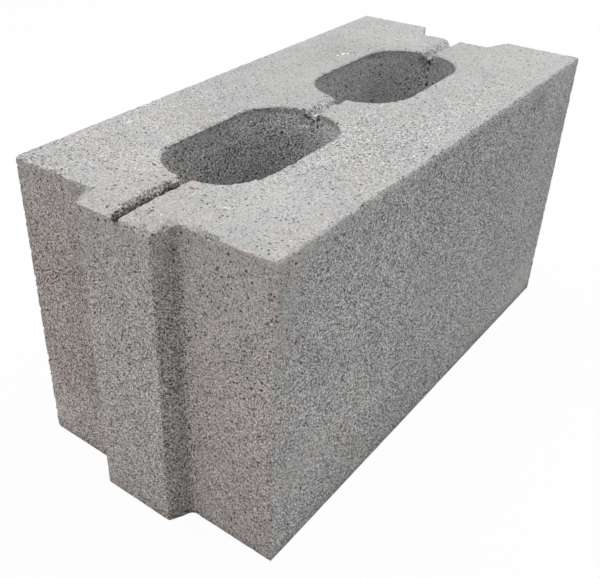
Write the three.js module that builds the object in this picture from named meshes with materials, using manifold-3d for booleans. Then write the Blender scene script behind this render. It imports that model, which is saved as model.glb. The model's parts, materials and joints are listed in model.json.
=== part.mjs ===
// Hollow concrete masonry block with interlocking ends: a tongue on one end, a matching groove in
// the other, two tapered through cores, and the shallow slot that the core bar leaves in the top.
//
// Millimetres. X runs along the block from the tongue end to the groove end, Y across it and Z up.
// The bed face lies on Z = 0, and the origin is under the middle of the overall length.

import * as THREE from 'three';
import { mergeVertices } from 'three/addons/utils/BufferGeometryUtils.js';
import Module from 'manifold-3d';

const wasm = await Module();
wasm.setup();

// Body
const bodyLength = 385; // between the end faces, without the tongue
const blockWidth = 190;
const blockHeight = 210;
const cornerRadius = 2.5; // upright outside corners
const arris = 1; // 45 degree break along the edges of the top and bed faces

// Tongue, full height in the middle of one end
const tongueProjection = 15;
const tongueTipWidth = 56;
const flankAngle = THREE.MathUtils.degToRad(20); // each flank, from the block's length
const tongueTipRadius = 3;
const tongueRootRadius = 5;

// Groove, full height in the middle of the other end, which takes the next block's tongue
const grooveSideClearance = 2.5; // across the block, on each side of the tongue
const grooveEndClearance = 5; // between the tongue's tip and the groove's floor
const grooveMouthRadius = 3;
const grooveFloorRadius = 4;

// Cores, open at the top and at the bed; sizes are those of the concrete at the top face
const sideShell = 58.75; // along each long side
const tongueEndShell = 40; // from the tongue end's face to the first core
const grooveEndShell = 44; // from the groove's floor to the last core
const coreWeb = 32.5; // between neighbouring cores
const coreCount = 2;
const coreEndFlat = 8.5; // straight part across each end of a core, between its round corners
const coreDraft = 3; // how far each core wall comes in from the top face down to the bed

// Slot of the core bar, along the middle of the top face from tip to groove
const slotWidth = 9.5; // between the arrises at its mouth
const slotFloorWidth = 5;
const slotDepth = 5;
const slotFloorRadius = 1.5;

// Finish: pale grey open-grained concrete
const concreteColour = 0xb0afad;
const concreteRoughness = 0.95;

// How the shapes are cut and faceted
const cutOverrun = 5; // how far a cutting solid runs past the face that it cuts
const arcDivisions = 5; // of each rounded corner; three.js puts two facets in each

const tongueRootWidth = tongueTipWidth + 2 * tongueProjection * Math.tan(flankAngle);
const grooveDepth = tongueProjection + grooveEndClearance;
const grooveMouthWidth = tongueRootWidth + 2 * grooveSideClearance;
const grooveFloorWidth = grooveMouthWidth - 2 * grooveDepth * Math.tan(flankAngle);

const tongueTipX = -(tongueProjection + bodyLength) / 2;
const tongueEndX = tongueTipX + tongueProjection;
const grooveEndX = tongueEndX + bodyLength;
const grooveFloorX = grooveEndX - grooveDepth;

const coreWidth = blockWidth - 2 * sideShell;
const coreCornerRadius = (coreWidth - coreEndFlat) / 2;
const coredLength = grooveFloorX - tongueEndX - tongueEndShell - grooveEndShell;
const coreLength = (coredLength - (coreCount - 1) * coreWeb) / coreCount;

// A closed outline through corners given as { x, y, radius }, in order round the shape. A corner is
// turned on an arc that is tangent to both of its sides; a radius of 0 leaves it sharp.
function roundedOutline(corners) {
  const points = corners.map(({ x, y }) => new THREE.Vector2(x, y));
  const shape = new THREE.Shape();
  corners.forEach(({ radius }, index) => {
    const point = points[index];
    if (radius > 0) {
      const before = points.at(index - 1);
      const after = points[(index + 1) % points.length];
      const { centre, startAngle, endAngle, clockwise } = cornerArc(before, point, after, radius);
      shape.absarc(centre.x, centre.y, radius, startAngle, endAngle, clockwise);
    } else if (index === 0) {
      shape.moveTo(point.x, point.y);
    } else {
      shape.lineTo(point.x, point.y);
    }
  });
  shape.closePath();
  return shape;
}

// The arc of a given radius that touches both sides of the corner at point.
function cornerArc(before, point, after, radius) {
  const toBefore = before.clone().sub(point).normalize();
  const toAfter = after.clone().sub(point).normalize();
  const halfAngle = Math.acos(toBefore.dot(toAfter)) / 2;
  const tangentLength = radius / Math.tan(halfAngle);
  const centreDirection = toBefore.clone().add(toAfter).normalize();
  const centre = point.clone().addScaledVector(centreDirection, radius / Math.sin(halfAngle));
  const start = point.clone().addScaledVector(toBefore, tangentLength);
  const end = point.clone().addScaledVector(toAfter, tangentLength);
  return {
    centre,
    startAngle: start.sub(centre).angle(),
    endAngle: end.sub(centre).angle(),
    clockwise: toBefore.cross(toAfter) > 0,
  };
}

// A rectangle with rounded corners, centred on (x, 0).
function roundedRectangle(x, length, width, radius) {
  return roundedOutline([
    { x: x - length / 2, y: -width / 2, radius },
    { x: x + length / 2, y: -width / 2, radius },
    { x: x + length / 2, y: width / 2, radius },
    { x: x - length / 2, y: width / 2, radius },
  ]);
}

// Skins a closed solid through sections { z, shape }, listed upwards, that have equal point counts.
function loft(sections) {
  const rings = sections.map(({ shape }) => shape.extractPoints(arcDivisions).shape);
  const ringSize = rings[0].length;
  const positions = rings.flatMap((ring, level) => ring.flatMap(({ x, y }) => [x, y, sections[level].z]));
  const lid = THREE.ShapeUtils.triangulateShape(rings[0], []);
  const topStart = (rings.length - 1) * ringSize;
  const indices = lid.flatMap(([a, b, c]) => [a, c, b, topStart + a, topStart + b, topStart + c]);
  for (let level = 0; level < rings.length - 1; level += 1) {
    for (let here = 0; here < ringSize; here += 1) {
      const next = (here + 1) % ringSize;
      const [low, high] = [level * ringSize, (level + 1) * ringSize];
      indices.push(low + here, low + next, high + next, low + here, high + next, high + here);
    }
  }
  const geometry = new THREE.BufferGeometry();
  geometry.setAttribute('position', new THREE.Float32BufferAttribute(positions, 3));
  geometry.setIndex(indices);
  return geometry;
}

// Plan of the block: a rectangle whose ends carry the tongue and the groove.
function planOutline() {
  const side = blockWidth / 2;
  const tongueSide = [
    { x: tongueEndX, y: side, radius: cornerRadius },
    { x: tongueEndX, y: tongueRootWidth / 2, radius: tongueRootRadius },
    { x: tongueTipX, y: tongueTipWidth / 2, radius: tongueTipRadius },
  ];
  const grooveSide = [
    { x: grooveFloorX, y: grooveFloorWidth / 2, radius: grooveFloorRadius },
    { x: grooveEndX, y: grooveMouthWidth / 2, radius: grooveMouthRadius },
    { x: grooveEndX, y: side, radius: cornerRadius },
  ];
  const leftHalf = [...grooveSide, ...tongueSide];
  const rightHalf = leftHalf.map(({ x, y, radius }) => ({ x, y: -y, radius })).reverse();
  return roundedOutline([...leftHalf, ...rightHalf]);
}

// The full casting before its cores and slot are cut, with the arris round both faces.
function bodyGeometry() {
  const geometry = new THREE.ExtrudeGeometry(planOutline(), {
    depth: blockHeight - 2 * arris,
    curveSegments: arcDivisions,
    bevelThickness: arris,
    bevelSize: arris,
    bevelOffset: -arris,
    bevelSegments: 1,
  });
  geometry.translate(0, 0, arris);
  return geometry;
}

// Section of a core whose walls stand in by inset from where they meet the top face.
function coreSection(x, inset) {
  return roundedRectangle(x, coreLength - 2 * inset, coreWidth - 2 * inset, coreCornerRadius - inset);
}

// One tapered core, with its rims opened out by the arris and run past both faces.
function coreGeometry(x) {
  const insetAt = (z) => coreDraft * (1 - z / blockHeight);
  const bedRim = coreSection(x, insetAt(0) - arris);
  const topRim = coreSection(x, insetAt(blockHeight) - arris);
  return loft([
    { z: -cutOverrun, shape: bedRim },
    { z: 0, shape: bedRim },
    { z: arris, shape: coreSection(x, insetAt(arris)) },
    { z: blockHeight - arris, shape: coreSection(x, insetAt(blockHeight - arris)) },
    { z: blockHeight, shape: topRim },
    { z: blockHeight + cutOverrun, shape: topRim },
  ]);
}

// The core bar's slot: its section across the block, drawn as y and z, run along X past both ends.
function slotGeometry() {
  const mouth = slotWidth / 2;
  const floor = slotFloorWidth / 2;
  const section = roundedOutline([
    { x: -floor, y: blockHeight - slotDepth, radius: slotFloorRadius },
    { x: floor, y: blockHeight - slotDepth, radius: slotFloorRadius },
    { x: mouth, y: blockHeight - arris, radius: 0 },
    { x: mouth + arris + cutOverrun, y: blockHeight + cutOverrun, radius: 0 },
    { x: -mouth - arris - cutOverrun, y: blockHeight + cutOverrun, radius: 0 },
    { x: -mouth, y: blockHeight - arris, radius: 0 },
  ]);
  const geometry = new THREE.ExtrudeGeometry(section, {
    depth: grooveEndX - tongueTipX + 2 * cutOverrun,
    curveSegments: arcDivisions,
    bevelEnabled: false,
  });
  const acrossBlock = new THREE.Vector3(0, 1, 0);
  const up = new THREE.Vector3(0, 0, 1);
  const alongBlock = new THREE.Vector3(1, 0, 0);
  geometry.applyMatrix4(new THREE.Matrix4().makeBasis(acrossBlock, up, alongBlock));
  geometry.translate(tongueTipX - cutOverrun, 0, 0);
  return geometry;
}

// A closed three.js geometry as a Manifold solid.
function toSolid(geometry) {
  const bare = geometry.clone();
  bare.deleteAttribute('normal');
  bare.deleteAttribute('uv');
  const merged = mergeVertices(bare);
  return new wasm.Manifold(new wasm.Mesh({
    numProp: 3,
    vertProperties: new Float32Array(merged.attributes.position.array),
    triVerts: new Uint32Array(merged.index.array),
  }));
}

// A Manifold solid as a three.js geometry with flat facets.
function toGeometry(solid) {
  const mesh = solid.getMesh();
  const indexed = new THREE.BufferGeometry();
  indexed.setAttribute('position', new THREE.BufferAttribute(mesh.vertProperties, 3));
  indexed.setIndex(new THREE.BufferAttribute(mesh.triVerts, 1));
  const geometry = indexed.toNonIndexed();
  geometry.computeVertexNormals();
  return geometry;
}

function concreteBlock() {
  let solid = toSolid(bodyGeometry());
  for (let index = 0; index < coreCount; index += 1) {
    const coreX = tongueEndX + tongueEndShell + coreLength / 2 + index * (coreLength + coreWeb);
    solid = solid.subtract(toSolid(coreGeometry(coreX)));
  }
  solid = solid.subtract(toSolid(slotGeometry()));
  const concrete = new THREE.MeshStandardMaterial({
    color: concreteColour,
    roughness: concreteRoughness,
    metalness: 0,
  });
  const mesh = new THREE.Mesh(toGeometry(solid), concrete);
  mesh.name = 'concrete_block';
  return mesh;
}

const block = new THREE.Group();
block.add(concreteBlock());

export default block;
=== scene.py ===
"""Looks of the concrete block: its crumbling casting, its concrete, and the set that it is seen on.

The row frame has X along the block from the tongue end to the groove end, Y across it and Z up from
the bed. Blender works in metres; the casting's relief and its marks are worked out in millimetres.
"""
import json
import math
import random

import bmesh
import bpy
import numpy as np
from mathutils import Euler, Matrix, Vector, noise


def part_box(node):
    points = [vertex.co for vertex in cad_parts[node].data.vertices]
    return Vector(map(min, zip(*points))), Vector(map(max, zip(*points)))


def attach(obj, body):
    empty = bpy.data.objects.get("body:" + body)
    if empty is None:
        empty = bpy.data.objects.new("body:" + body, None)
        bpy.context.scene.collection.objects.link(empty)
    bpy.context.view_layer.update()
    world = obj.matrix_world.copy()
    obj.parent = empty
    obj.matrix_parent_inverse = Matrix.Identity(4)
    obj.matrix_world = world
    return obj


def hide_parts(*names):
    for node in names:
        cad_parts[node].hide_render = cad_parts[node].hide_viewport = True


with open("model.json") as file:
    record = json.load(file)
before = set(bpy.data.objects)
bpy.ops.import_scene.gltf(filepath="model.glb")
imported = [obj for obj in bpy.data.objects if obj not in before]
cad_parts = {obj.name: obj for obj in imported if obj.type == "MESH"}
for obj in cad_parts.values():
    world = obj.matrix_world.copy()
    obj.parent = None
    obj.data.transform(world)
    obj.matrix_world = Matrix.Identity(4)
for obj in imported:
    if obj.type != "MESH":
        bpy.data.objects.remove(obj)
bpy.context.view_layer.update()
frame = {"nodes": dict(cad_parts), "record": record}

MM = 0.001
NODE = "concrete_block"
low_corner, high_corner = (np.array(corner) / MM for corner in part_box(NODE))
faces = {mount["name"]: np.array(mount["pos_m"]) / MM for mount in frame["record"]["mounts"]}
TOP = faces["top_face"][2]
TONGUE_TIP = faces["tongue_tip"][0]
TONGUE_END = faces["tongue_end_face"][0]
GROOVE_END = faces["groove_end_face"][0]
RIGHT = faces["right_side_face"][1]
LEFT = faces["left_side_face"][1]

# ---------------------------------------------------------------------------------- mesh and noise
REMESH_DEPTH = 9
REMESH_SCALE = 0.8  # with the depth above, about 1 mm between the points that carry the relief
TRIANGLE_LIMIT = 190_000


def evaluated_mesh(mesh, name, modifier_kind, **settings):
    """The mesh that one modifier makes of another mesh."""
    holder = bpy.data.objects.new(name, mesh)
    bpy.context.scene.collection.objects.link(holder)
    modifier = holder.modifiers.new(modifier_kind.lower(), modifier_kind)
    for setting, value in settings.items():
        setattr(modifier, setting, value)
    graph = bpy.context.evaluated_depsgraph_get()
    made = bpy.data.meshes.new_from_object(holder.evaluated_get(graph))
    bpy.data.objects.remove(holder)
    return made


def welded(mesh):
    """A copy of a CAD mesh whose facets share their corners."""
    shell = bmesh.new()
    shell.from_mesh(mesh)
    bmesh.ops.remove_doubles(shell, verts=shell.verts, dist=0.001 * MM)
    joined = bpy.data.meshes.new("welded")
    shell.to_mesh(joined)
    shell.free()
    return joined


def vertex_values(mesh, what):
    """One vector property of every vertex, as an array with a row for each."""
    values = np.empty(len(mesh.vertices) * 3)
    mesh.vertices.foreach_get(what, values)
    return values.reshape(-1, 3)


def noise_at(points, size, seed=0.0):
    """Smooth noise, about -1 to 1, with lumps of the given size in mm."""
    return np.array([noise.noise(point) for point in (points / size + seed).tolist()])


def grains_at(points, size, seed=0.0):
    """Distance to the nearest grain centre, as a share of the grain size, and that grain's own number."""
    found = [noise.voronoi(point) for point in (points / size + seed).tolist()]
    distance = np.array([distances[0] for distances, _ in found])
    number = np.array([noise.cell(centres[0] * 7.3) for _, centres in found])
    return distance, number


def ramp(values, start, end):
    """0 at start, 1 at end and smooth between them."""
    share = np.clip((values - start) / (end - start), 0, 1)
    return share * share * (3 - 2 * share)


def lumps_at(points, *layers):
    """Several noises laid over each other, each given as its strength, its size in mm and its seed."""
    return sum(strength * noise_at(points, size, seed) for strength, size, seed in layers)


def band(values, low, high, edge):
    """1 between low and high, and 0 beyond an edge of the given width outside them."""
    return ramp(values, low - edge, low) * ramp(-values, -high - edge, -high)


# ------------------------------------------------------------------------------- wear and breakage
CORNER_RADIUS = 2.5  # of the CAD's upright outer corners, where the real block's are nearly sharp
EXPOSURE_PASSES = 8  # smoothing passes that tell an arris from a flat
EXPOSURE_FULL = 0.5  # mm that a square arris moves in those passes

# The casting's relief, in mm.
WAVE_HEIGHT = 0.04
CAST_PIT_DEPTH = 1.3
ARRIS_WEAR = 0.15  # lost from any arris
ARRIS_WEAR_TOP = 0.1  # lost besides from those of the top face
ARRIS_WEAR_TONGUE = 0.3  # and at its tongue end
RIM_WEAR = 1.1  # lost from the cores' rims
RIM_REACH = 1.3  # how far those rims stand out over the cores where nothing is lost
RIM_REACH_CORNERS = 1.5  # and besides at the cores' right-hand corners nearest the tongue
SLOT_LUMPS = 0.9
SLOT_LOSS = 1.3  # the depth of the hollows that grains left in the slot's banks

# The core bar's slot across the block: where the CAD section turns, its height there above its own
# floor, and where those turns stand between the tongue's tip and the first core.
SLOT_DEPTH = 5.0
SLOT_TURNS = (-10, -5.75, -4.75, -2.3, 2.3, 4.75, 5.75, 10)
SLOT_HEIGHTS = (5, 5, 4, 0, 0, 4, 5, 5)
SLOT_BANKS = (-10, -6.0, -5.6, -5.0, 0.0, 3.2, 4.0, 10)
SLOT_SPLAY = 1.4  # how much further out its right bank is at the first core than at the tip
SLOT_DROP = 2.0  # how much deeper its floor is there
FIRST_CORE = -145.0

# Broken arrises: each takes off what lies beyond a rough slanting plane. A break is its point on the
# plane, the plane's outward direction, the low and high corners of where it reaches, and roughness.
BREAKS = (
    ((TONGUE_TIP, 0, TOP - 3.0), (-0.2, 0, 1), ((-300, -40, 0), (-180, 40, 300)), 0.7),  # tongue's top
    ((TONGUE_TIP, -27, TOP - 4.6), (-0.3, -0.2, 1), ((-300, -60, 0), (-182, -12, 300)), 0.9),  # its corner
    ((TONGUE_END, 0, TOP - 1.4), (-0.2, 0, 1), ((-300, -91, 0), (-170, -31, 300)), 0.6),  # right of it
    ((TONGUE_END, 0, TOP - 1.1), (-0.2, 0, 1), ((-300, 31, 0), (-170, 100, 300)), 0.6),  # left of it
    ((TONGUE_TIP, -25.6, 100), (-0.5, -1, 0), ((-300, -40, -20), (-184, -12, 300)), 0.35),  # its right edge
    ((0, 8.0, TOP), (0, -1, 1.8), ((-30, 0, 0), (20, 60, 300)), 0.9),  # slot's left shoulder on the web
    ((0, 8.0, TOP), (0, -1, 1.8), ((130, 0, 0), (190, 60, 300)), 0.9),  # and at the groove end
)

# Scoops: what a stone took with it when it fell out. Place on the surface, outward direction, width
# and depth.
SCOOPS = (
    ((TONGUE_TIP + 1, -20, TOP - 3.5), (-1, -0.2, 1), 12, 1.6),
    ((TONGUE_TIP + 3.5, -25, TOP - 4), (-0.4, -0.3, 1), 3.6, 2.2),
    ((TONGUE_TIP + 7, -30, TOP - 2), (-0.2, -1, 1), 8, 2.2),
    ((TONGUE_TIP, 1.5, TOP - 7), (-1, 0, 0.4), 5, 2.6),
    ((TONGUE_TIP, 1.0, TOP - 11), (-1, 0, 0), 3.6, 1.8),
    ((TONGUE_TIP, 2.4, TOP - 14.5), (-1, 0, 0), 3.2, 1.6),
    ((TONGUE_TIP, 1.8, TOP - 19), (-1, 0, 0), 3.6, 1.8),
    ((TONGUE_TIP, 5.5, TOP - 23), (-1, 0, 0), 3.4, 1.6),
    ((TONGUE_END, 62, TOP - 3), (-1, 0, 0.6), 6, 1.6),
    ((TONGUE_END, 56, TOP - 6), (-1, 0, 0), 4, 1.8),
    ((-92, -36, TOP), (0, 1, 1), 7, 2.0),
    ((46.5, -35.2, TOP + 0.9), (0.3, 1, 1), 6, 2.2),
    ((-20.5, -8, TOP - 8), (-1, 0, 0), 3.4, 1.6),
    ((-20.4, -2, TOP - 9), (-1, 0, 0), 3.6, 1.8),
    ((-20.3, 5, TOP - 12), (-1, 0, 0), 3.2, 1.5),
    ((135.6, -1.8, TOP - 8), (-1, 0, -0.2), 3.6, 1.8),
    ((135.4, -1.6, TOP - 12.5), (-1, 0, 0), 3.6, 2.0),
    ((135.3, -1.0, TOP - 18.5), (-1, 0, 0), 3.4, 1.8),
    ((135.2, -2.2, TOP - 24.7), (-1, 0, 0), 3.6, 1.8),
    ((-55, RIGHT, 176), (0, -1, 0), 3.2, 1.5),
    ((-135, RIGHT, 146), (0, -1, 0), 3.4, 1.6),
    ((-158, RIGHT, 92), (0, -1, 0), 3.4, 1.7),
    ((-154, RIGHT, 89), (0, -1, 0), 3.0, 1.5),
    ((-118, RIGHT, 94), (0, -1, 0), 3.8, 1.8),
    ((-131, RIGHT, 85), (0, -1, 0), 3.0, 1.4),
    ((-25, RIGHT, 131), (0, -1, 0), 3.6, 1.6),
    ((-8, RIGHT, 35), (0, -1, 0), 3.4, 1.6),
    ((TONGUE_END, -54, 189), (-1, 0, 0), 3.4, 1.7),
    ((TONGUE_END, -42, 96), (-1, 0, 0), 3.4, 1.6),
)

CORE_HALF_WIDTH = 45
CHIP_SEED = 41
CHIP_COUNT = 200  # small ones, strewn along the arrises
CHIPS_ELSEWHERE = 0.15  # how thickly they lie off the top face's outline, against 1 along it
CHIP_WIDTHS = (1.8, 4.4)
CHIP_DEPTHS = (0.22, 0.36)  # as a share of their widths
RIM_CRUMB_COUNT = 90  # crumbs lost from the cores' rims
RIM_CRUMB_WIDTHS = (2.4, 5.0)
RIM_CRUMB_DEPTHS = (0.25, 0.38)
RIM_SWELLING = 0.4  # how far off the CAD shape they are pressed in from, as those rims stand out
ARRIS_ANGLE = math.radians(20)  # facets that meet more sharply than this make an arris
SHARP_ANGLE = math.radians(32)  # and on the finished casting, these are shaded as a sharp edge
RAW_LOSSES = (0.7, 1.6)  # mm lost where the broken inside starts to show, and where it shows fully


def strewn_chips(mesh):
    """Random small scoops along the outward edges of the CAD shape."""
    shell = bmesh.new()
    shell.from_mesh(mesh)
    bmesh.ops.dissolve_limit(shell, angle_limit=math.radians(1), verts=shell.verts, edges=shell.edges)
    edges = [edge for edge in shell.edges if edge.calc_face_angle_signed(0) > ARRIS_ANGLE]
    at_top = [min(corner.co.z for corner in edge.verts) / MM > TOP - 3 for edge in edges]
    at_core = [max(abs(corner.co.y) for corner in edge.verts) / MM < CORE_HALF_WIDTH for edge in edges]
    weights = [
        edge.calc_length() * (CHIPS_ELSEWHERE if core or not top else 1)
        for edge, top, core in zip(edges, at_top, at_core)
    ]
    chance = random.Random(CHIP_SEED)
    chips = []

    def strew(edge, swelling, widths, power, depths):
        """Adds one chip on an edge. The higher the power, the more of them are narrow."""
        start, end = (corner.co for corner in edge.verts)
        outward = (edge.link_faces[0].normal + edge.link_faces[1].normal).normalized()
        place = start.lerp(end, chance.random()) / MM + outward * swelling
        width = widths[0] + (widths[1] - widths[0]) * chance.random() ** power
        chips.append((tuple(place), tuple(outward), width, width * chance.uniform(*depths)))

    for edge in chance.choices(edges, weights=weights, k=CHIP_COUNT):
        strew(edge, 0, CHIP_WIDTHS, 3, CHIP_DEPTHS)
    rims = [edge for edge, top, core in zip(edges, at_top, at_core) if top and core]
    for edge in chance.choices(rims, weights=[edge.calc_length() for edge in rims], k=RIM_CRUMB_COUNT):
        strew(edge, RIM_SWELLING, RIM_CRUMB_WIDTHS, 1, RIM_CRUMB_DEPTHS)
    shell.free()
    return chips


def exposure(mesh, points, normals):
    """0 on flats and 1 along sharp outward edges."""
    smooth = evaluated_mesh(mesh, "smoothed", "SMOOTH", factor=0.5, iterations=EXPOSURE_PASSES)
    moved = points - vertex_values(smooth, "co") / MM
    bpy.data.meshes.remove(smooth)
    return np.clip((moved * normals).sum(1) / EXPOSURE_FULL, 0, 1)


def sharpened(points):
    """The points with the upright outer corners drawn out of their CAD arcs, but for lost crumbs."""
    crumbs = ramp(noise_at(points, 2.6, 33.0), 0.0, 0.4)
    into_side = np.abs(points[:, 1]) - (LEFT - CORNER_RADIUS)
    for end in (TONGUE_END, GROOVE_END):
        sense = math.copysign(1, end)
        into_end = points[:, 0] * sense - (abs(end) - CORNER_RADIUS)
        corner = (into_end > 0) & (into_side > 0)
        if end == TONGUE_END:
            corner &= into_end < 2 * CORNER_RADIUS
        reach = np.hypot(into_end[corner], into_side[corner])
        grow = reach / np.maximum(into_end[corner], into_side[corner])
        more = grow ** (1 - 0.5 * crumbs[corner]) - 1
        points[corner, 0] += into_end[corner] * more * sense
        points[corner, 1] += into_side[corner] * more * np.sign(points[corner, 1])
    return points


def skin(points, exposed):
    """How far the open surface stands in from the moulded form, in mm: waves, pits, dulled arrises."""
    waves = WAVE_HEIGHT + WAVE_HEIGHT * noise_at(points, 14, 3.1)
    distance, number = grains_at(points, 6.0, 1.7)
    pits = CAST_PIT_DEPTH * ramp(number, 0.55, 1.0) * ramp(-distance, -0.34, -0.12)
    along, across, up = points.T
    at_top = ramp(up, TOP - 4, TOP - 2)
    at_tongue = ramp(-along, 165, 180)
    crumbly = ARRIS_WEAR + at_top * (ARRIS_WEAR_TOP + ARRIS_WEAR_TONGUE * at_tongue)
    ragged = ramp(lumps_at(points, (1, 2.2, 11.3), (0.7, 5.5, 5.9)), 0.0, 0.5)
    rims = at_top * ramp(-np.abs(across), -48, -44) * ramp(along, FIRST_CORE - 12, FIRST_CORE - 4)
    rims = rims * ramp(np.abs(across), 6, 9)
    jagged = ramp(lumps_at(points, (1, 1.8, 31.0), (0.6, 4.5, 5.9)), -0.1, 0.4)
    near_corners = band(along, -136, -118, 6) + band(along, 14, 32, 6)
    inward = RIM_REACH + RIM_REACH_CORNERS * near_corners * ramp(-across, 12, 20)
    wear = crumbly * ragged * (1 - rims) + rims * (RIM_WEAR * jagged - inward)
    return waves * (1 - rims) + pits + exposed * wear


def reshape_slot(points):
    """Moves the banks of the slot to where they stand between the tongue's tip and the first core."""
    along, across, up = points.T
    line = points * (1, 0, 0)
    wander = [lumps_at(line, (0.9, 7, seed), (0.8, 3, seed)) for seed in (6.3, 14.9)]
    splay = SLOT_SPLAY * (np.interp(along, (TONGUE_TIP, FIRST_CORE), (-0.5, 0.5)))
    shift = np.zeros(len(points))
    for turn, (start, end) in enumerate(zip(SLOT_TURNS, SLOT_TURNS[1:])):
        moves = []
        for index in (turn, turn + 1):
            inner = 0 < index < len(SLOT_TURNS) - 1
            right = inner and SLOT_TURNS[index] < 0
            strays = inner * wander[0 if right else 1]
            moves.append(SLOT_BANKS[index] - SLOT_TURNS[index] + strays - right * splay)
        share = (across - start) / (end - start)
        here = (across >= start) & (across < end)
        shift = np.where(here, moves[0] + share * (moves[1] - moves[0]), shift)
    surface = TOP - SLOT_DEPTH + np.interp(across, SLOT_TURNS, SLOT_HEIGHTS)
    near = ramp(-along, -FIRST_CORE - 8, -FIRST_CORE) * ramp(up - surface, -7, -1)
    floor = 1 - ramp(np.abs(across), SLOT_TURNS[4], SLOT_TURNS[5])
    points[:, 1] += near * shift
    points[:, 2] -= near * floor * SLOT_DROP


def in_slot(points):
    """1 on the banks and floor of the core bar's slot."""
    half = SLOT_TURNS[6] - 0.3
    across = band(points[:, 1], -half + 1, half, 0.4)
    return across * ramp(points[:, 2], TOP - SLOT_DEPTH - 1, TOP - SLOT_DEPTH + 0.5)


def slot_relief(points):
    """The crumbling banks of the slot, in mm in from the moulded form."""
    lumps = lumps_at(points, (1, 4.5, 21.0), (0.8, 2.2, 17.0), (0.6, 1.4, 12.0))
    distance, number = grains_at(points, 3.4, 9.2)
    lost = ramp(number, 0.35, 0.6) * ramp(-distance, -0.5, -0.1)
    return in_slot(points) * (SLOT_LUMPS * lumps + SLOT_LOSS * lost)


def break_off(points, place, outward, reach, roughness):
    """Moves what lies beyond a rough plane back onto it."""
    outward = np.array(outward) / np.linalg.norm(outward)
    beyond = (points - np.array(place)) @ outward
    low, high = np.array(reach)
    near = ((points > low) & (points < high)).all(1) & (beyond > -3 * roughness)
    if near.any():
        rough = roughness * lumps_at(points[near], (1, 7.0, 2.5), (0.8, 2.6, 8.8))
        fade = np.minimum((points[near] - low).min(1), (high - points[near]).min(1))
        off = np.clip(beyond[near] + rough, 0, None) * ramp(fade, 0, 4)
        points[near] -= off[:, None] * outward


def scoop(points, place, outward, width, depth):
    """Presses the surface in to a rough bowl of the given width and depth."""
    outward = np.array(outward) / np.linalg.norm(outward)
    radius = (width * width / 4 + depth * depth) / (2 * depth)
    centre = np.array(place) + outward * (radius - depth)
    reach = points - centre
    distance = np.linalg.norm(reach, axis=1)
    near = distance < 1.2 * radius
    if near.any():
        rough = 1 + 0.5 * depth / radius * noise_at(points[near], 1.8, 4.4)
        push = np.clip(radius * rough - distance[near], 0, 1.5 * depth)
        points[near] += reach[near] / distance[near, None] * push[:, None]


def casting(node):
    """The whole block as one mesh, with its pits, its worn arrises and its broken spots."""
    cad = welded(node.data)
    mesh = evaluated_mesh(cad, "even", "REMESH", mode="SHARP", octree_depth=REMESH_DEPTH, scale=REMESH_SCALE)
    moulded = vertex_values(mesh, "co") / MM
    normals = vertex_values(mesh, "normal")
    exposed = exposure(mesh, moulded, normals)
    depth = skin(moulded, exposed) + slot_relief(moulded)
    points = sharpened(moulded - normals * depth[:, None])
    reshape_slot(points)
    for broken in BREAKS:
        break_off(points, *broken)
    for hollow in (*SCOOPS, *strewn_chips(cad)):
        scoop(points, *hollow)
    points = np.clip(points, low_corner, high_corner)
    mesh.vertices.foreach_set("co", (points * MM).ravel())
    mesh.update()
    lost = np.linalg.norm(points - moulded, axis=1)
    slot = in_slot(moulded) * ramp(moulded[:, 0], TONGUE_TIP + 0.3, TONGUE_TIP + 1.2)
    for name, values in (("raw", ramp(lost, *RAW_LOSSES) * (1 - slot)), ("slot", slot)):
        mesh.attributes.new(name, "FLOAT", "POINT").data.foreach_set("value", values.astype(np.float32))
    thinning = TRIANGLE_LIMIT / (2 * len(mesh.polygons))
    thin = evaluated_mesh(mesh, "thinned", "DECIMATE", ratio=thinning, use_collapse_triangulate=True)
    thin.name = "block_casting"
    thin.shade_smooth()
    thin.set_sharp_from_angle(angle=SHARP_ANGLE)
    return bpy.data.objects.new("block_casting", thin)


# --------------------------------------------------------------------------------------- concrete
class Nodes:
    """Short calls for laying out one material's nodes."""

    def __init__(self, tree):
        self.tree = tree

    def make(self, kind, inputs=None, **settings):
        node = self.tree.nodes.new(kind)
        for setting, value in settings.items():
            setattr(node, setting, value)
        for name, value in (inputs or {}).items():
            if isinstance(value, bpy.types.NodeSocket):
                self.tree.links.new(value, node.inputs[name])
            else:
                node.inputs[name].default_value = value
        return node

    def math(self, operation, first, second=0.0):
        return self.make("ShaderNodeMath", {0: first, 1: second}, operation=operation).outputs[0]

    def total(self, *terms):
        result = terms[0]
        for term in terms[1:]:
            result = self.math("ADD", result, term)
        return result

    def product(self, *factors):
        result = factors[0]
        for factor in factors[1:]:
            result = self.math("MULTIPLY", result, factor)
        return result

    def spread(self, value, start, end, low=0.0, high=1.0):
        """low where the value is at start, high where it is at end, and straight between them."""
        inputs = {"Value": value, "From Min": start, "From Max": end, "To Min": low, "To Max": high}
        return self.make("ShaderNodeMapRange", inputs, clamp=True).outputs[0]

    def vector(self, operation, first, second=(0, 0, 0)):
        return self.make("ShaderNodeVectorMath", {0: first, 1: second}, operation=operation).outputs[0]

    def scaled(self, vector, factor):
        inputs = {0: vector, "Scale": factor}
        return self.make("ShaderNodeVectorMath", inputs, operation="SCALE").outputs[0]

    def length(self, vector):
        return self.make("ShaderNodeVectorMath", {0: vector}, operation="LENGTH").outputs["Value"]

    def mix(self, share, first, second, blend="MIX"):
        node = self.make("ShaderNodeMix", data_type="RGBA", blend_type=blend)
        for name, value in (("Factor_Float", share), ("A_Color", first), ("B_Color", second)):
            socket = next(s for s in node.inputs if s.identifier == name)
            if isinstance(value, bpy.types.NodeSocket):
                self.tree.links.new(value, socket)
            else:
                socket.default_value = value
        return next(s for s in node.outputs if s.identifier == "Result_Color")


def rgb(red, green, blue):
    return (red, green, blue, 1)


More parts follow.
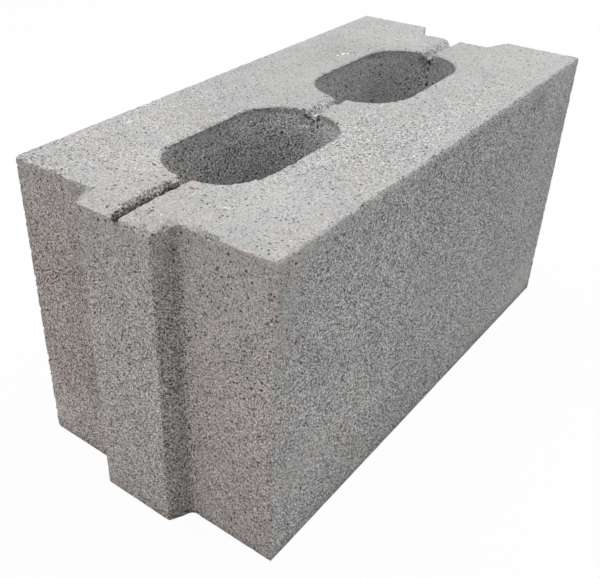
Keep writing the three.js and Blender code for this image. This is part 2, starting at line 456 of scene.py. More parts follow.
SAND_SIZE = 0.55  # mm between the middles of neighbouring grains
PORE_SIZE = 1.35  # and of the dark pores between them
PIT_SIZE = 2.8  # and of the largest of these, which lie in clusters
GRIT_SIZE = 1.4  # and of pale coarser grains
GRAVEL_SIZE = 2.4
CRUMB_SIZE = 2.4  # of loose ones in the core bar's slot
SPECK_SIZE = 3.2  # of those that stand out in the cores
FLECK_SIZE = 5.0  # and of the whitest ones
SAND_TONE = 1.0  # how far the palest and the darkest grains of sand are from the paste
SPECKLE_BALANCE = 0.1  # brings the speckle's mean back to the paste
CLOSED_ROUGHNESS = 0.33  # of the top face, where the open walls have 1
OPENER_ROUGHNESS = 0.74  # of its left part at the tongue end
OPENER_RIGHT = 0.6  # how much more open it is along the middle of the right side
RAW_ROUGHNESS = 0.55  # the least on broken spots
SLOT_ROUGHNESS = 0.9  # and in the slot
PINK_SHARE = 0.012  # of the coarser grains
GRAVEL_BUMP = 0.5  # mm that each kind stands up in the bump, where the surface is open
SAND_BUMP = 0.8
GRIT_BUMP = 0.3
HOLE_BUMP = -0.9
PORE_BUMP = -0.6
RAW_BUMP = 0.35  # of the coarse unevenness on broken spots
SLOT_BUMP = 0.9  # and in the slot
SURFACE_ROUGHNESS = 0.95
SPECULAR_LEVEL = 0.2
BUMP_STRENGTH = 0.55

COOL_PASTE = rgb(0.4425, 0.4425, 0.439)
WARM_PASTE = rgb(0.465, 0.4325, 0.4205)
# painted shade for the pores and the holes that the bump dents
PORE_SHADOW = rgb(0.04, 0.038, 0.036)
LIGHT_GRAIN = rgb(0.78, 0.77, 0.74)
WHITE_GRAIN = rgb(0.92, 0.91, 0.88)
PINK_GRAIN = rgb(0.55, 0.40, 0.33)
RAW_PASTE = rgb(0.47, 0.445, 0.42)
ARRIS_PASTE = rgb(0.62, 0.56, 0.50)  # along the top of the tongue end
BROWN_STAIN = rgb(0.66, 0.58, 0.53)
# darkens the tongue end left of the tongue, most halfway up
LEFT_END_DARKENING = rgb(0.77, 0.738, 0.715)

# painted shadow in pits
PIT_SHADOW = rgb(0.05, 0.048, 0.045)
# painted shadow in the holes of a seam
SEAM_HOLE_SHADOW = rgb(0.02, 0.02, 0.02)
PALE_CRUMB = rgb(0.68, 0.62, 0.56)
WHITE_FLAKE = rgb(0.95, 0.95, 0.94)

# How much lighter or darker than the paste each part of the block is, as a share of it: mostly painted light
# and shade.
SIDE_SHADES = (-0.035, -0.185)  # painted shade on the right side at the tongue end, and from its middle on
SIDE_FAR_SHADE = 0.075  # painted light besides that on its far end
SIDE_NEAR_SHADE = 0.015  # painted light on its near end
FAR_CORNERS_SHADE = 0.08  # painted light on the head and foot of its far end
EDGE_BAND_SHADE = -0.02  # the closed-up band beside the near edge
CORE_SHADES = (-0.03, 0.08)  # painted shade on the cores' walls at the tongue end, and painted light from the first core's middle on
# painted light in the second core besides
SECOND_CORE_SHADE = 0.03
FIRST_RIM_PAINTED_LIGHT = 0.42  # painted light just below the first core's far rim
SECOND_END_PAINTED_SHADE = -0.2  # painted shade at the second core's far end
FLANK_PAINTED_SHADE = -0.25  # painted shade on the tongue's flanks
# painted light on the tongue's front
TONGUE_SHADE = 0.035
# painted shade on the end face beside the tongue
BESIDE_TONGUE_PAINTED_SHADE = -0.045
WEB_SHADE = -0.035
# painted shade on the top face left of its middle, and painted light towards its ends and its right edge
TOP_LEFT_SHADE = -0.055
TOP_NEAR_SHADE = 0.03
TOP_FAR_SHADE = 0.02
TOP_RIGHT_SHADE = 0.025
LIP_PAINTED_SHADE = -0.35  # painted shade where the slot breaks out over the cores' far ends
BANK_PAINTED_SHADE = -0.3  # painted shade on the slot's bank at the groove end
SLOT_PAINTED_SHADE = -0.14  # painted shade in the core bar's slot
CREVICE_PAINTED_SHADE = -0.9  # and deeper painted shade along the foot of its right bank

# How strongly the sand stands out, against 1 on the tongue end's upper half.
SIDE_CONTRASTS = (1.2, 1.6)  # on the right side at the tongue end, and from its middle on
SIDE_FAR_CONTRAST = 0.62  # at its far end, against 1 in its middle
CORE_CONTRASTS = (1.08, 1.3)  # in the first core, from its near end to its middle
SECOND_CORE_CONTRAST = 0.67  # against 1 in the first
FOOT_CONTRAST, UPPER_CONTRAST = 1.25, 0.95
HEAD_CONTRAST = 0.7  # just below the top face
TONGUE_HEAD_CONTRAST = 0.78  # on the upper part of the tongue end
LEFT_END_CONTRAST = 0.35  # more on the left of the tongue end
RIGHT_END_CONTRAST = -0.12  # less on its right
EDGE_BAND_CONTRAST = -0.3
DRAG_CONTRAST = 0.025  # of the upright streaks
CLOUD_CONTRAST = 0.06

# Single marks on the top face: middle along and across, half sizes the same ways in mm, colour, and how
# much of the concrete it covers.
TOP_MARKS = (
    (-158.5, -42.5, 1, 2.6, rgb(0.80, 0.72, 0.64), 0.8),  # pale flakes
    (-160, -38.5, 1, 2.6, rgb(0.70, 0.60, 0.52), 0.7),
    (-108.5, 80, 4, 1.6, LIGHT_GRAIN, 0.7),
    (89, 52, 2.2, 1, WHITE_FLAKE, 0.9),
    (94, 50.5, 2.4, 1.1, WHITE_FLAKE, 0.95),
    (97, 48, 1.8, 1, WHITE_FLAKE, 0.9),
    (-151.5, -68, 0.9, 0.7, PIT_SHADOW, 0.85),  # painted shadow in a cluster of pits
    (-149, -70, 0.7, 0.6, PIT_SHADOW, 0.8),
    (-146, -71.5, 0.8, 0.6, PIT_SHADOW, 0.8),
    (-152, -71.5, 0.7, 0.7, PIT_SHADOW, 0.8),
    (-149.5, -73, 0.9, 0.7, PIT_SHADOW, 0.8),
    (-146.5, -75, 0.7, 0.6, PIT_SHADOW, 0.8),
    (-148.5, -77, 0.8, 0.6, PIT_SHADOW, 0.75),
    (-167, -31.5, 1, 0.7, PIT_SHADOW, 0.85),  # painted shadow in single pits
    (-151.5, -15.5, 0.9, 0.7, PIT_SHADOW, 0.85),
    (-150, -48.5, 0.9, 0.7, PIT_SHADOW, 0.85),
    (-150, -59.5, 0.8, 0.7, PIT_SHADOW, 0.85),
    (-26.5, -85.5, 1.5, 1.1, PIT_SHADOW, 0.9),  # and right of the first core and the web
    (-40.5, -63.5, 0.9, 0.8, PIT_SHADOW, 0.85),
    (17.5, -60, 1.3, 0.9, PIT_SHADOW, 0.85),
    (5, -69, 1.1, 0.8, PIT_SHADOW, 0.85),
    (-21, -73.5, 1.1, 0.7, PIT_SHADOW, 0.85),
    (-24, -82, 0.9, 0.8, PIT_SHADOW, 0.85),
    (-57.5, -78.5, 1.1, 0.9, PIT_SHADOW, 0.8),
    (-2, -30, 1.1, 0.9, WHITE_GRAIN, 0.9),  # and white grains there
    (-1.5, -24.5, 1.8, 0.6, WHITE_GRAIN, 0.8),
    (17.5, -29, 1.4, 0.6, WHITE_GRAIN, 0.8),
    (-2.5, -59, 1, 0.7, WHITE_GRAIN, 0.8),
    (-71, -59, 1, 0.8, WHITE_GRAIN, 0.8),
    (-41.5, -85.5, 1.3, 0.8, WHITE_GRAIN, 0.8),
)

# All single marks, in the order that they are laid on: middle, half sizes, colour and cover.
MARKS = (
    ((-151.0, -11.0, TOP - 1), (3.6, 2.6, 2), rgb(0.60, 0.45, 0.37), 0.9),  # pinkish stone by the slot
    *(((x, y, TOP), (half_x, half_y, 2), paint, cover) for x, y, half_x, half_y, paint, cover in TOP_MARKS),
    ((TONGUE_END, -94.0, 201.5), (2, 1.3, 1.4), PALE_CRUMB, 0.75),  # crumbs beside the near edge
    ((TONGUE_END, -94.0, 185.5), (2, 1.5, 1.8), PALE_CRUMB, 0.85),
    ((TONGUE_END, -94.0, 166.0), (2, 1.3, 1.3), PALE_CRUMB, 0.8),
    ((TONGUE_END, -79.5, 181.5), (2, 1.2, 1.6), PALE_CRUMB, 0.8),
    ((-21.5, 2.5, 205.0), (4, 1.0, 1.3), PIT_SHADOW, 0.85),  # painted shadow in pits at the far end of the first core
    ((-21.5, -1.5, 203.5), (4, 1.2, 1.2), PIT_SHADOW, 0.9),
    ((-21.5, -5.5, 206.0), (4, 1.0, 1.2), PIT_SHADOW, 0.85),
    ((-21.5, -8.5, 203.0), (4, 1.1, 1.1), PIT_SHADOW, 0.85),
    ((-21.5, -4.5, 200.5), (4, 1.0, 1.0), PIT_SHADOW, 0.8),
    ((-21.5, 0.5, 201.0), (4, 0.9, 1.0), PIT_SHADOW, 0.8),
    ((-182, -92, TOP - 1), (9, 7, 3), rgb(0.60, 0.58, 0.55), 0.35),  # broad faint stains
    ((-160, RIGHT, 62), (22, 6, 18), rgb(0.55, 0.545, 0.53), 0.4),
    ((-12, RIGHT, 105), (30, 6, 22), rgb(0.52, 0.52, 0.51), 0.3),
    ((172, RIGHT, 22), (26, 6, 18), rgb(0.60, 0.60, 0.59), 0.45),
    ((130, RIGHT, 195), (9, 4, 5), rgb(0.20, 0.195, 0.19), 0.35),
    ((134.5, -2.0, TOP - 7), (4, 1.5, 3.0), SEAM_HOLE_SHADOW, 0.97),  # painted shadow in the holes of a seam at the core's end
    ((134.5, -1.5, TOP - 12.5), (4, 1.2, 1.9), SEAM_HOLE_SHADOW, 0.95),
    ((134.5, -1.0, TOP - 18.5), (4, 1.1, 1.7), SEAM_HOLE_SHADOW, 0.9),
    ((134.5, -2.0, TOP - 24.5), (4, 1.2, 1.7), SEAM_HOLE_SHADOW, 0.95),
    ((-153.0, -13.0, TOP - 1), (1.2, 2.6, 2), rgb(0.12, 0.10, 0.09), 0.85),  # painted shadow in front of the stone
)


class Concrete:
    """The pressed concrete's material, built up from its paste, sand, pores and marks, with painted light
    and shade.
    """

    def __init__(self):
        self.material = bpy.data.materials.new("pressed_concrete")
        self.material.use_nodes = True
        tree = self.material.node_tree
        self.nodes = Nodes(tree)
        place = self.nodes.make("ShaderNodeTexCoord").outputs["Object"]
        self.place = self.nodes.scaled(place, 1 / MM)
        split = self.nodes.make("ShaderNodeSeparateXYZ", {0: self.place}).outputs
        self.x, self.y, self.z = split
        self.across = self.nodes.math("ABSOLUTE", self.y)
        self.raw = self.nodes.make("ShaderNodeAttribute", attribute_name="raw").outputs["Fac"]
        self.slot = self.nodes.make("ShaderNodeAttribute", attribute_name="slot").outputs["Fac"]
        colour, height = self.layers()
        shader = next(node for node in tree.nodes if node.type == "BSDF_PRINCIPLED")
        shader.inputs["Roughness"].default_value = SURFACE_ROUGHNESS
        shader.inputs["Specular IOR Level"].default_value = SPECULAR_LEVEL
        relief = {"Height": height, "Strength": BUMP_STRENGTH, "Distance": MM}
        bump = self.nodes.make("ShaderNodeBump", relief)
        tree.links.new(colour, shader.inputs["Base Color"])
        tree.links.new(bump.outputs[0], shader.inputs["Normal"])

    def noise(self, size, detail=2.0, roughness=0.5, place=None):
        inputs = {"Vector": place or self.place, "Scale": 1 / size, "Detail": detail, "Roughness": roughness}
        return self.nodes.make("ShaderNodeTexNoise", inputs).outputs["Fac"]

    def grains(self, size, seed=0.0):
        """Distance from each grain's middle as a share of its size, and three numbers of its own."""
        place = self.nodes.vector("ADD", self.place, (seed, seed, seed))
        cells = self.nodes.make("ShaderNodeTexVoronoi", {"Vector": place, "Scale": 1 / size})
        numbers = self.nodes.make("ShaderNodeSeparateColor", {0: cells.outputs["Color"]}).outputs
        return cells.outputs["Distance"], numbers

    def end_faces(self):
        """1 on the tongue end and in the groove end, and 0 along the sides and the top."""
        nodes = self.nodes
        tongue_end = nodes.spread(self.x, TONGUE_END + 1.0, TONGUE_END + 0.4)
        groove_end = nodes.spread(self.x, GROOVE_END - 2, GROOVE_END - 1)
        below_top = nodes.spread(self.z, TOP - 1, TOP - 2.2)
        return nodes.product(nodes.math("MAXIMUM", tongue_end, groove_end), below_top)

    def paste(self):
        """The paste's colour: cool or warm, with its stains, the tongue end drawn darker left of the tongue,
        and the pale arris of the tongue end, scaled by the painted light and shade.
        """
        nodes = self.nodes
        warmth = nodes.spread(self.x, -150, 0, 0.7, 0.25)
        patches = nodes.spread(self.noise(22, 3), 0.42, 0.7, 0, warmth)
        by_slot = nodes.product(self.within(self.y, -14, 16, 10), nodes.spread(self.x, -135, -150, 0, 0.55))
        warm = nodes.math("MAXIMUM", nodes.math("MAXIMUM", patches, by_slot), self.end_faces())
        colour = nodes.mix(warm, COOL_PASTE, WARM_PASTE)
        uneven = nodes.spread(self.noise(9), 0.3, 0.7, -4, 4)
        foot = nodes.spread(nodes.total(self.z, uneven), 10, 2, 0, 0.6)
        near_edge = nodes.product(nodes.spread(self.y, -80, -92, 0, 0.14), nodes.spread(self.z, 140, 90))
        low_end = nodes.product(nodes.spread(self.y, -32, -40), nodes.spread(self.z, 190, 30, 0, 0.22))
        end_stain = nodes.product(nodes.total(low_end, near_edge), self.end_faces())
        brown = nodes.math("MAXIMUM", end_stain, foot)
        half_way_up = self.within(self.z, 70, 146, 90)
        # the tongue end left of the tongue, drawn darker most halfway up
        left_end_darker = nodes.product(nodes.spread(self.y, 30, 33), self.end_faces(), half_way_up)
        for darkening, paint in ((brown, BROWN_STAIN), (left_end_darker, LEFT_END_DARKENING)):
            colour = nodes.mix(darkening, colour, nodes.mix(1.0, colour, paint, "MULTIPLY"))
        arris = nodes.product(
            self.within(self.z, TOP - 2.0, TOP - 0.6, 0.6),
            nodes.spread(self.x, TONGUE_END + 2.0, TONGUE_END + 1),
            nodes.spread(self.across, 31, 33),
            nodes.spread(self.noise(6), 0.35, 0.6),
        )
        colour = nodes.mix(nodes.product(arris, 0.6), colour, ARRIS_PASTE)
        return nodes.scaled(colour, self.shade())

    def within(self, value, low, high, edge):
        """1 between low and high, and 0 beyond an edge of the given width outside them."""
        nodes = self.nodes
        return nodes.product(nodes.spread(value, low - edge, low), nodes.spread(value, high + edge, high))

    def shade(self):
        """Where the paste as a whole is lighter or darker, against 1: mostly painted light and shade."""
        nodes = self.nodes
        on_top = nodes.spread(self.z, TOP - 6, TOP - 3)
        below_top = nodes.math("SUBTRACT", 1.0, on_top)
        parts = (
            self.side_shade(below_top),
            self.core_shade(below_top),
            *self.end_shades(),
            *self.top_shades(on_top),
            self.lip_shade(),
        )
        return nodes.product(nodes.total(1.0, *parts), self.slot_painted_shade())

    def side_shade(self, below_top):
        """Painted light and shade on the right side, from light at the tongue end to dark in its middle."""
        nodes = self.nodes
        middle = nodes.spread(self.x, -120, -20, *SIDE_SHADES)
        far_end = nodes.spread(self.x, 90, 160, 0, SIDE_FAR_SHADE)
        near_end = nodes.spread(self.x, -140, -160, 0, SIDE_NEAR_SHADE)
        head_and_foot = nodes.math("MAXIMUM", nodes.spread(self.z, 165, 195), nodes.spread(self.z, 60, 30))
        far_corners = nodes.product(nodes.spread(self.x, 60, 130), head_and_foot, FAR_CORNERS_SHADE)
        edge = nodes.product(self.edge_band(), EDGE_BAND_SHADE)
        side = nodes.product(nodes.spread(self.y, RIGHT + 3, RIGHT + 1), below_top)
        return nodes.product(nodes.total(middle, nodes.total(far_end, near_end), far_corners, edge), side)

    def core_shade(self, below_top):
        """Painted light and shade on the cores' walls."""
        nodes = self.nodes
        along = nodes.spread(self.x, -80, -30, *CORE_SHADES)
        second = nodes.spread(self.x, 10, 30, 0, SECOND_CORE_SHADE)
        far_rim = nodes.spread(self.z, 188, 200, 0, FIRST_RIM_PAINTED_LIGHT)
        far_rim = nodes.product(far_rim, self.within(self.x, -25, -5, 40))
        at_far_end = nodes.spread(self.x, 120, 132)
        far_end = nodes.product(at_far_end, nodes.spread(self.y, 30, 15), SECOND_END_PAINTED_SHADE)
        tone = nodes.total(nodes.total(along, second), far_rim, far_end)
        walls = nodes.spread(self.across, 48, 44)
        return nodes.product(walls, self.within(self.x, -150, 140, 2), below_top, tone)

    def end_shades(self):
        """Painted shade on the tongue's flanks and on the end face beside it, and painted light on its
        front.
        """
        nodes = self.nodes
        off_end = nodes.spread(self.x, TONGUE_END, TONGUE_END - 2)
        from_arris = nodes.total(self.across, nodes.spread(self.y, 0, -1, -1.2, 0.2))
        flank = nodes.product(nodes.spread(from_arris, 25.8, 27.2), off_end, FLANK_PAINTED_SHADE)
        upper = nodes.spread(self.z, 180, 140)
        front = nodes.product(nodes.spread(self.across, 27, 26), upper, off_end, TONGUE_SHADE)
        beside = nodes.product(nodes.spread(self.across, 28, 30), nodes.spread(self.across, 48, 36))
        beside = nodes.product(beside, self.end_faces(), BESIDE_TONGUE_PAINTED_SHADE)
        return flank, front, beside

    def top_shades(self, on_top):
        """The top face over the web, darker; painted light towards its ends and right edge, and painted
        shade left of its middle.
        """
        nodes = self.nodes
        over_web = self.within(self.x, -22, 14, 6)
        web = nodes.product(over_web, nodes.spread(self.across, 44, 30), on_top, WEB_SHADE)
        near = nodes.spread(self.x, -20, -100, 0, TOP_NEAR_SHADE)
        far = nodes.spread(self.x, 90, 150, 0, TOP_FAR_SHADE)
        right = nodes.product(nodes.spread(self.y, -25, -45), TOP_RIGHT_SHADE)
        outer = nodes.product(on_top, nodes.total(near, far, right))
        left = nodes.product(nodes.spread(self.y, 20, 60), self.within(self.x, -40, 90, 60))
        return web, outer, nodes.product(left, on_top, TOP_LEFT_SHADE)

    def lip_shade(self):
        """Painted shade on the broken lips where the slot runs out over the cores' far ends, and on its bank
        beyond.
        """
        nodes = self.nodes
        first_lip = self.within(self.x, -24, -17, 1)
        second_lip = self.within(self.x, 130, 142, 1)
        lips = nodes.math("MAXIMUM", first_lip, second_lip)
        lips = nodes.math("MAXIMUM", lips, nodes.product(self.within(self.x, 142, 147, 2), 0.5))
        below_rim = self.within(self.z, TOP - 9, TOP - 2, 1)
        lips = nodes.product(lips, self.within(self.y, -4.5, 7.5, 1), below_rim, LIP_PAINTED_SHADE)
        beyond = nodes.spread(self.x, 141, 147)
        bank = nodes.product(self.within(self.y, -2.5, 0.5, 1.5), beyond, self.slot, BANK_PAINTED_SHADE)
        return nodes.total(lips, bank)

    def slot_painted_shade(self):
        """Painted shade in the slot, darkest deep in the crevice at the tongue end, against 1."""
        nodes = self.nodes
        at_tongue = nodes.spread(self.x, FIRST_CORE + 3, FIRST_CORE - 3)
        at_rims = nodes.math("MAXIMUM", self.within(self.x, -24, -18, 2), self.within(self.x, 130, 137, 2))
        elsewhere = nodes.total(nodes.spread(self.x, 120, 132, 0.3, 0.0), nodes.product(at_rims, 0.5))
        crevice = nodes.spread(self.z, TOP - 2.5, TOP - 5.5, SLOT_PAINTED_SHADE, CREVICE_PAINTED_SHADE)
        share = nodes.total(elsewhere, nodes.product(at_tongue, 0.7))
        return nodes.total(1.0, nodes.product(share, crevice, self.slot))

    def edge_band(self):
        """1 on the closed-up band of the side beside the near edge's upper half."""
        nodes = self.nodes
        uneven = nodes.spread(self.noise(14), 0.3, 0.7, -3, 3)
        along = nodes.spread(nodes.total(self.x, uneven), -168, -174)
        side = nodes.spread(self.y, RIGHT + 3, RIGHT + 1)
        return nodes.product(along, side, nodes.spread(self.z, 125, 165))

    def contrast(self):
        """How strongly the sand's grains stand out, against 1 on the tongue end's upper half."""
        nodes = self.nodes
        side = nodes.spread(self.x, -130, -20, *SIDE_CONTRASTS)
        side = nodes.product(side, nodes.spread(self.x, 60, 170, 1, SIDE_FAR_CONTRAST))
        cores = nodes.spread(self.x, -160, -145, *CORE_CONTRASTS)
        cores = nodes.product(cores, nodes.spread(self.x, -20, 10, 1, SECOND_CORE_CONTRAST))
        outside = nodes.spread(self.across, LEFT * 0.6, LEFT * 0.9)
        along = nodes.make("ShaderNodeMix", {0: outside, 2: cores, 3: side}).outputs[0]
        up = nodes.spread(self.z, 60, 190, FOOT_CONTRAST, UPPER_CONTRAST)
        closed = nodes.total(1.0, nodes.product(self.edge_band(), EDGE_BAND_CONTRAST))
        head = nodes.spread(self.z, 195, 206, 1, HEAD_CONTRAST)
        tongue_head = nodes.spread(self.x, -150, -165, 1, TONGUE_HEAD_CONTRAST)
        upper_end = nodes.spread(self.z, 150, 190, 1, tongue_head)
        left_end = nodes.spread(self.y, 25, 60, 0, LEFT_END_CONTRAST)
        right_end = nodes.spread(self.y, -30, -40, 0, RIGHT_END_CONTRAST)
        at_end = nodes.product(nodes.spread(self.x, -150, -165), nodes.total(left_end, right_end))
        return nodes.product(up, along, closed, head, upper_end, nodes.total(1.0, at_end))

    def drag(self):
        """Faint upright streaks that the mould left on the walls, as -1 to 1."""
        nodes = self.nodes
        stretched = nodes.make("ShaderNodeMapping", {"Vector": self.place, "Scale": (1, 1, 0.06)}).outputs[0]
        return nodes.spread(self.noise(2.6, 2, 0.6, stretched), 0.3, 0.7, -1, 1)

    def dots(self, size, share, largest, seed, ragged=0.0):
        """Dots in a share of the cells of the given size, with radii up to largest cells."""
        nodes = self.nodes
        distance, (kind, _, _) = self.grains(size, seed)
        if ragged:
            stray = nodes.spread(self.noise(0.5 * size, 1), 0.25, 0.75, -ragged, ragged)
            distance = nodes.total(distance, stray)
        radius = nodes.spread(kind, nodes.math("SUBTRACT", 1.0, share), 1.0, 0, largest)
        return nodes.spread(distance, radius, nodes.product(radius, 0.8))

    def pores(self, opened, in_cores, density):
        """Where the pores lie, which get painted shade: many small ones where the surface is open, and
        clusters of larger pits.
        """
        nodes = self.nodes
        open_share = nodes.spread(density, 0.3, 0.7, 0.7, 1.0)
        closed_share = nodes.spread(self.noise(11, 3, 0.6), 0.42, 0.64, 0.12, 1.0)
        share = nodes.make("ShaderNodeMix", {0: opened, 2: closed_share, 3: open_share}).outputs[0]
        fewer_in_cores = nodes.product(in_cores, nodes.spread(self.x, -10, 10, -0.4, -0.8))
        fewer_at_head = nodes.product(opened, nodes.spread(self.z, 196, 206, 0, -0.45))
        fewer = nodes.product(nodes.total(1.0, fewer_in_cores), nodes.total(1.0, fewer_at_head))
        small = self.dots(PORE_SIZE, nodes.product(share, fewer), largest=0.45, seed=3.0, ragged=0.12)
        pit_share = nodes.spread(self.noise(17, 2, 0.6), 0.45, 0.7, 0.05, 0.45)
        large = self.dots(PIT_SIZE, pit_share, largest=0.34, seed=6.0, ragged=0.16)
        return nodes.math("MAXIMUM", small, large)

    def pale_grains(self, opened, in_cores, grit, pink):
        """The grains that are paler than the paste: where each kind shows, how fully, and its colour."""
        nodes = self.nodes
        speck_share = nodes.product(in_cores, nodes.spread(self.x, -10, 10, 0.4, 0.8))
        speck = self.dots(SPECK_SIZE, speck_share, largest=0.22, seed=11.0)
        crumb = self.dots(CRUMB_SIZE, nodes.product(self.slot, 0.6), largest=0.42, seed=13.0, ragged=0.12)
        scattered = nodes.spread(self.noise(40), 0.4, 0.7, 0.05, 0.6)
        fleck_share = nodes.product(nodes.total(scattered, self.within(self.x, -70, 50, 40)), 0.6)
        fleck = self.dots(FLECK_SIZE, fleck_share, largest=0.15, seed=5.0, ragged=0.05)
        return (
            (grit, nodes.spread(opened, 0, 1, 0.6, 0.9), LIGHT_GRAIN),
            (pink, 0.5, PINK_GRAIN),
            (speck, 0.6, LIGHT_GRAIN),
            (crumb, 0.6, LIGHT_GRAIN),
            (fleck, 0.9, WHITE_GRAIN),
        )

    def tone(self, sand_tone, rough):
        """How much lighter or darker the sand, the clouds and the streaks make each spot, against 1."""
        nodes = self.nodes
        cloud = nodes.spread(self.noise(45, 4), 0.3, 0.7, 1 - CLOUD_CONTRAST, 1 + CLOUD_CONTRAST)
        speckle = nodes.total(nodes.spread(sand_tone, 0, 1, -SAND_TONE, SAND_TONE), SPECKLE_BALANCE)
        crumbly = nodes.product(self.slot, nodes.spread(self.x, 128, 142, 1, 0.55))
        crumbs = nodes.spread(self.noise(1.7, 2, 0.6), 0.32, 0.68, -0.7, 0.75)
        return nodes.product(
            cloud,
            nodes.total(1.0, nodes.product(rough, self.contrast(), speckle)),
            nodes.total(1.0, nodes.product(self.drag(), DRAG_CONTRAST)),
            nodes.total(1.0, nodes.product(crumbly, crumbs)),
        )

    def layers(self):
        """The surface's colour, and its height in mm."""
        nodes = self.nodes
        rough = self.roughness()
        opened = nodes.spread(rough, CLOSED_ROUGHNESS, 1)
        in_cores = nodes.product(nodes.spread(self.across, 48, 44), opened)
        density = self.noise(16, 2)
        sand, (sand_tone, _, sand_up) = self.grains(SAND_SIZE)
        gravel, (gravel_tone, gravel_kind, _) = self.grains(GRAVEL_SIZE)
        gravel_dome = nodes.spread(gravel, 0.1, 0.55, 1, 0)
        grit = self.dots(GRIT_SIZE, 0.75, largest=0.4, seed=8.0)
        pore = self.pores(opened, in_cores, density)
        fallen_out = nodes.spread(density, 0.35, 0.7, 0.95, 0.86)
        hole = nodes.product(
            nodes.math("GREATER_THAN", gravel_kind, fallen_out),
            nodes.spread(gravel, 0.38, 0.25),
        )

        colour = nodes.mix(nodes.product(self.raw, 0.25), self.paste(), RAW_PASTE)
        colour = nodes.scaled(colour, self.tone(sand_tone, rough))
        pink = nodes.product(nodes.math("LESS_THAN", gravel_kind, PINK_SHARE), gravel_dome)
        for grains, cover, paint in self.pale_grains(opened, in_cores, grit, pink):
            colour = nodes.mix(nodes.product(grains, cover), colour, paint)
        colour = self.marked(colour)
        # painted shade in the pores and in the holes where gravel fell out, which the bump only dents
        pitted = nodes.math("MAXIMUM", hole, pore)
        colour = nodes.mix(nodes.product(pitted, nodes.spread(opened, 0, 1, 0.75, 0.92)), colour, PORE_SHADOW)

        gravel_height = nodes.product(gravel_dome, nodes.spread(gravel_tone, 0.5, 1, 0, GRAVEL_BUMP))
        sand_dome = nodes.spread(sand, 0.15, 0.65, 1, 0)
        sand_height = nodes.product(sand_dome, nodes.spread(sand_up, 0, 1, 0.3, 1))
        height = nodes.total(
            gravel_height,
            nodes.product(sand_height, SAND_BUMP),
            nodes.product(grit, GRIT_BUMP),
            nodes.total(nodes.product(hole, HOLE_BUMP), nodes.product(pore, PORE_BUMP)),
        )
        broken = nodes.total(nodes.product(self.raw, RAW_BUMP), nodes.product(self.slot, SLOT_BUMP))
        coarse = nodes.product(broken, self.noise(2.5, 3, 0.6))
        return colour, nodes.product(nodes.total(height, coarse), rough)

    def roughness(self):
        """How open the surface is: less where the press head closed the top face."""
        nodes = self.nodes
        normal = nodes.make("ShaderNodeTexCoord").outputs["Normal"]
        upward = nodes.make("ShaderNodeSeparateXYZ", {0: normal}).outputs[2]
        pressed = nodes.product(nodes.spread(upward, 0.6, 0.9), nodes.spread(self.z, TOP - 9, TOP - 6))
        near = nodes.product(nodes.spread(self.x, 20, -140), nodes.spread(self.y, -60, 60, 0.2, 1))
        along_right = nodes.product(nodes.spread(self.x, -130, -60), nodes.spread(self.x, 130, 60))
        across_right = nodes.product(nodes.spread(self.y, -12, -32), nodes.spread(self.y, -90, -70, 0.25, 1))
        on_right = nodes.product(along_right, across_right, OPENER_RIGHT)
        closed = nodes.total(nodes.spread(near, 0, 1, CLOSED_ROUGHNESS, OPENER_ROUGHNESS), on_right)
        rough = nodes.make("ShaderNodeMix", {0: pressed, 2: 1.0, 3: closed}).outputs[0]
        raw = nodes.product(self.raw, RAW_ROUGHNESS)
        broken = nodes.math("MAXIMUM", raw, nodes.product(self.slot, SLOT_ROUGHNESS))
        return nodes.math("MAXIMUM", rough, broken)

    def marked(self, colour):
        """The colour with each single mark laid over it, broken up by the sand."""
        nodes = self.nodes
        ragged = self.noise(3.0, 3, 0.7)
        for middle, half_sizes, paint, cover in MARKS:
            away = nodes.vector("SUBTRACT", self.place, middle)
            distance = nodes.length(nodes.vector("DIVIDE", away, half_sizes))
            edge = nodes.total(distance, nodes.spread(ragged, 0.2, 0.8, -0.5, 0.5))
            colour = nodes.mix(nodes.spread(edge, 1.15, 0.6, 0, cover), colour, paint)
        return colour


# -------------------------------------------------------------------------------------------- set
CAMERA_PLACE = (-0.4477, -0.28376, 0.40716)
CAMERA_HEADING = 38.394  # degrees from +X towards +Y
CAMERA_TILT = 33.243  # degrees below level
CAMERA_ROLL = 0.179  # degrees
CAMERA_LENS = 49.529
CAMERA_SHIFT = 0.09
CAMERA_SENSOR = 36  # mm
AMBIENT = 0.08
FLOOR_REACH = 4
FLOOR_PAINT = (0.8, 0.8, 0.8, 1)
FLOOR_GLOW = 0.96  # how far the floor is white to the camera, whatever light falls on it

# Soft lamps: direction from the block as degrees from +X towards +Y and up, distance, size, power.
LAMPS = {
    "overhead": (0, 89.9, 1.6, 2.0, 26.8),
    "tongue_end_fill": (165, 30, 2.0, 1.2, 6.9),
    "right_fill": (300, 30, 3.5, 2.1, 20.2),
    "groove_end_fill": (0, 30, 2.0, 1.2, 11.1),
    "left_fill": (90, 30, 2.0, 1.2, 7.5),
}
LAMP_TARGET = Vector((0, 0, 0.1))


def add(data, name, location=(0, 0, 0), rotation=(0, 0, 0)):
    """Puts new data in the scene as an object."""
    made = bpy.data.objects.new(name, data)
    made.location = location
    made.rotation_euler = rotation
    bpy.context.scene.collection.objects.link(made)
    return made


def add_camera():
    camera = bpy.data.cameras.new("camera")
    camera.lens = CAMERA_LENS
    camera.sensor_width = CAMERA_SENSOR
    camera.shift_x = CAMERA_SHIFT
    camera.clip_start = 0.01
    turn = Euler((math.radians(90 - CAMERA_TILT), 0, math.radians(CAMERA_HEADING - 90))).to_matrix()
    roll = Matrix.Rotation(math.radians(CAMERA_ROLL), 3, "Z")
    bpy.context.scene.camera = add(camera, "camera", CAMERA_PLACE, (turn @ roll).to_euler())


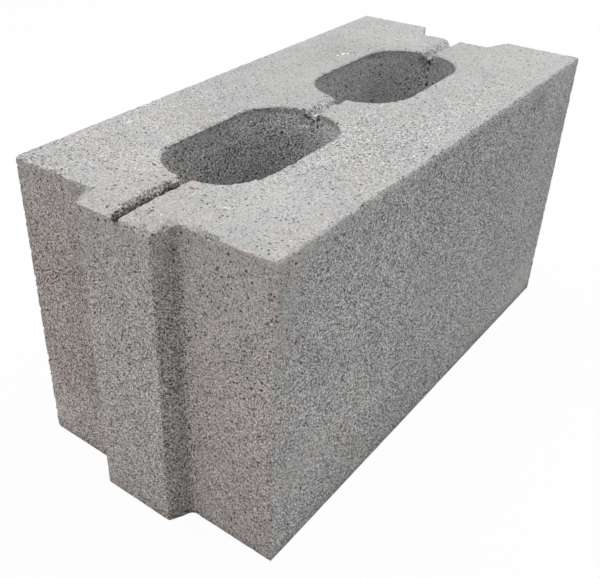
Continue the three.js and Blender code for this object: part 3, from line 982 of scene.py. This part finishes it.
def add_lamp(name, heading, height, distance, size, power):
    """A square soft lamp that faces the block."""
    lamp = bpy.data.lights.new(name, "AREA")
    lamp.size = size
    lamp.energy = power
    level = math.cos(math.radians(height))
    up = math.sin(math.radians(height))
    turn = math.radians(heading)
    outward = Vector((math.cos(turn) * level, math.sin(turn) * level, up))
    rotation = outward.to_track_quat("Z", "Y").to_euler()
    add(lamp, name, LAMP_TARGET + outward * distance, rotation)


def seen_directly(nodes):
    """1 for what the camera sees directly, in a mirror or through glass, and otherwise 0."""
    path = nodes.make("ShaderNodeLightPath").outputs
    mirrored = nodes.math("MAXIMUM", path["Is Glossy Ray"], path["Is Transmission Ray"])
    return nodes.math("MAXIMUM", path["Is Camera Ray"], mirrored)


def add_world():
    world = bpy.data.worlds.new("studio")
    bpy.context.scene.world = world
    world.use_nodes = True
    nodes = Nodes(world.node_tree)
    strength = nodes.spread(seen_directly(nodes), 0, 1, AMBIENT, 1.0)
    background = world.node_tree.nodes["Background"]
    background.inputs["Color"].default_value = (1, 1, 1, 1)
    world.node_tree.links.new(strength, background.inputs["Strength"])


def add_floor():
    """A white floor that the camera sees nearly white, with a faint shadow under the block."""
    mesh = bpy.data.meshes.new("floor")
    corners = [(x * FLOOR_REACH, y * FLOOR_REACH, 0) for x, y in ((-1, -1), (1, -1), (1, 1), (-1, 1))]
    mesh.from_pydata(corners, [], [(0, 1, 2, 3)])
    floor = add(mesh, "floor")
    material = bpy.data.materials.new("white_floor")
    material.use_nodes = True
    tree = material.node_tree
    tree.nodes.clear()
    nodes = Nodes(tree)
    paint = nodes.make("ShaderNodeBsdfDiffuse", {"Color": FLOOR_PAINT}).outputs[0]
    glow = nodes.make("ShaderNodeEmission", {"Color": (1, 1, 1, 1), "Strength": 1.0}).outputs[0]
    share = nodes.math("MULTIPLY", seen_directly(nodes), FLOOR_GLOW)
    blend = nodes.make("ShaderNodeMixShader", {0: share, 1: paint, 2: glow}).outputs[0]
    nodes.make("ShaderNodeOutputMaterial", {"Surface": blend})
    mesh.materials.append(material)


block = casting(frame["nodes"][NODE])
bpy.context.scene.collection.objects.link(block)
block.data.materials.clear()
block.data.materials.append(Concrete().material)
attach(block, "root")
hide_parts(NODE)

add_camera()
add_world()
add_floor()
for name, settings in LAMPS.items():
    add_lamp(name, *settings)
bpy.context.scene.view_settings.view_transform = "Standard"
